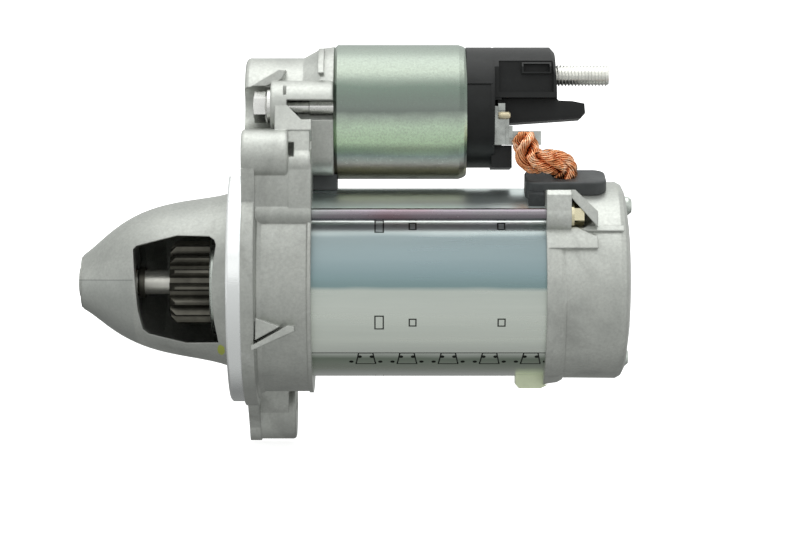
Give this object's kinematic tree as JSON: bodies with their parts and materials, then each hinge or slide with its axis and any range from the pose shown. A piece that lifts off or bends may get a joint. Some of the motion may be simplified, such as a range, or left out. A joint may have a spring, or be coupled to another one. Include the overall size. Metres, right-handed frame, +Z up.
{
  "type": "starter motor",
  "caption": "Planetary-gear starter motor with pinion-shift solenoid, cast nose with ring-gear window, flange, overrunning clutch, sprung brushes and a braided motor lead.",
  "frame": {"origin": "centre of the flange's mounting face, on the pinion and armature axis", "axes": "+X along the shaft towards the rear cover, +Z up towards the solenoid, the ring-gear window faces -Y"},
  "size_m": [0.2048, 0.092, 0.1495],
  "materials": {
    "cast_aluminium": "satin",
    "machined_steel": "satin",
    "dark_steel": "matte",
    "zinc_plated_steel": "satin",
    "sintered_bronze": "matte",
    "copper": "satin",
    "ferrite": "matte",
    "rubber": "matte",
    "black_plastic": "matte",
    "nylon": "matte",
    "drain_plastic": "matte",
    "carbon": "matte",
    "purple_passivate": "satin"
  },
  "bodies": {
    "housing": {"drive_housing": "cast_aluminium", "nose_bush": "sintered_bronze", "bearing_bracket": "zinc_plated_steel", "carrier_bush": "sintered_bronze", "ring_gear": "dark_steel", "centre_plate": "zinc_plated_steel", "bearing_balls": "machined_steel", "bearing_outer_rings": "machined_steel", "yoke": "zinc_plated_steel", "field_magnets": "ferrite", "rear_cover": "cast_aluminium", "through_bolts": "purple_passivate", "rear_cover_screws": "zinc_plated_steel", "brush_holder": "zinc_plated_steel", "lead_grommet": "rubber", "braided_lead": "copper", "drain_boot": "drain_plastic", "lever_pivot": "machined_steel", "lever_seal": "rubber", "solenoid_case": "zinc_plated_steel", "plunger_sleeve": "copper", "solenoid_bobbin": "nylon", "solenoid_coil": "copper", "solenoid_core": "machined_steel", "return_spring": "machined_steel", "solenoid_cap": "black_plastic", "battery_stud": "machined_steel", "motor_terminal": "machined_steel", "terminal_rivet": "copper", "signal_blade": "machined_steel", "solenoid_bolts": "machined_steel", "brush_spring_1": "machined_steel", "brush_spring_2": "machined_steel", "brush_spring_3": "machined_steel", "brush_spring_4": "machined_steel"},
    "armature": {"armature_shaft": "machined_steel", "armature_core": "dark_steel", "armature_winding": "copper", "commutator": "copper", "bearing_inner_rings": "machined_steel"},
    "output": {"output_shaft": "machined_steel", "planet_pins": "machined_steel", "stop_collar": "dark_steel"},
    "clutch": {"clutch_outer": "dark_steel", "clutch_rollers": "machined_steel", "clutch_cover": "zinc_plated_steel"},
    "pinion_gear": {"pinion": "dark_steel"},
    "plunger_group": {"plunger": "machined_steel", "contact_rod": "machined_steel", "moving_contact": "copper", "contact_spring": "machined_steel"},
    "lever": {"drive_lever": "nylon"},
    "planet_1": {"planet_gear_1": "dark_steel"},
    "planet_2": {"planet_gear_2": "dark_steel"},
    "planet_3": {"planet_gear_3": "dark_steel"},
    "carbon_1": {"brush_1": "carbon"},
    "carbon_2": {"brush_2": "carbon"},
    "carbon_3": {"brush_3": "carbon"},
    "carbon_4": {"brush_4": "carbon"}
  },
  "joints": [
    {"name": "armature_spin", "type": "hinge", "parent": "housing", "child": "armature", "pos_m": [0.07, 0, 0], "axis": [1, 0, 0], "continuous": true},
    {"name": "carrier_spin", "type": "hinge", "parent": "housing", "child": "output", "pos_m": [0, 0, 0], "axis": [1, 0, 0], "continuous": true},
    {"name": "planet_spin_1", "type": "hinge", "parent": "output", "child": "planet_1", "pos_m": [0.0342, 0, 0.0162], "axis": [1, 0, 0], "continuous": true},
    {"name": "planet_spin_2", "type": "hinge", "parent": "output", "child": "planet_2", "pos_m": [0.0342, -0.01403, -0.0081], "axis": [1, 0, 0], "continuous": true},
    {"name": "planet_spin_3", "type": "hinge", "parent": "output", "child": "planet_3", "pos_m": [0.0342, 0.01403, -0.0081], "axis": [1, 0, 0], "continuous": true},
    {"name": "clutch_slide", "type": "slide", "parent": "output", "child": "clutch", "axis": [-1, 0, 0], "range_m": [0, 0.0095]},
    {"name": "pinion_overrun", "type": "hinge", "parent": "clutch", "child": "pinion_gear", "pos_m": [-0.02, 0, 0], "axis": [1, 0, 0], "continuous": true},
    {"name": "plunger_slide", "type": "slide", "parent": "housing", "child": "plunger_group", "axis": [1, 0, 0], "range_m": [0, 0.0068], "stiffness_N_per_m": 1500, "springref_m": -0.01, "deforming": ["return_spring"]},
    {"name": "lever_swing", "type": "hinge", "parent": "housing", "child": "lever", "pos_m": [0.012, 0, 0.037], "axis": [0, 1, 0], "range_deg": [0, 14.82]},
    {"name": "brush_slide_1", "type": "slide", "parent": "housing", "child": "carbon_1", "axis": [0, 0.7071, 0.7071], "range_m": [0, 0.0025], "stiffness_N_per_m": 900, "springref_m": -0.006, "deforming": ["brush_spring_1"]},
    {"name": "brush_slide_2", "type": "slide", "parent": "housing", "child": "carbon_2", "axis": [0, -0.7071, 0.7071], "range_m": [0, 0.0025], "stiffness_N_per_m": 900, "springref_m": -0.006, "deforming": ["brush_spring_2"]},
    {"name": "brush_slide_3", "type": "slide", "parent": "housing", "child": "carbon_3", "axis": [0, -0.7071, -0.7071], "range_m": [0, 0.0025], "stiffness_N_per_m": 900, "springref_m": -0.006, "deforming": ["brush_spring_3"]},
    {"name": "brush_slide_4", "type": "slide", "parent": "housing", "child": "carbon_4", "axis": [0, 0.7071, -0.7071], "range_m": [0, 0.0025], "stiffness_N_per_m": 900, "springref_m": -0.006, "deforming": ["brush_spring_4"]}
  ],
  "couplings": [
    {"joint": "carrier_spin", "follows": "armature_spin", "ratio": 0.2037},
    {"joint": "planet_spin_1", "follows": "armature_spin", "ratio": -0.54745},
    {"joint": "planet_spin_2", "follows": "armature_spin", "ratio": -0.54745},
    {"joint": "planet_spin_3", "follows": "armature_spin", "ratio": -0.54745},
    {"joint": "plunger_slide", "follows": "clutch_slide", "ratio": 0.7157},
    {"joint": "lever_swing", "follows": "clutch_slide", "rad_per_m": 27.2}
  ]
}
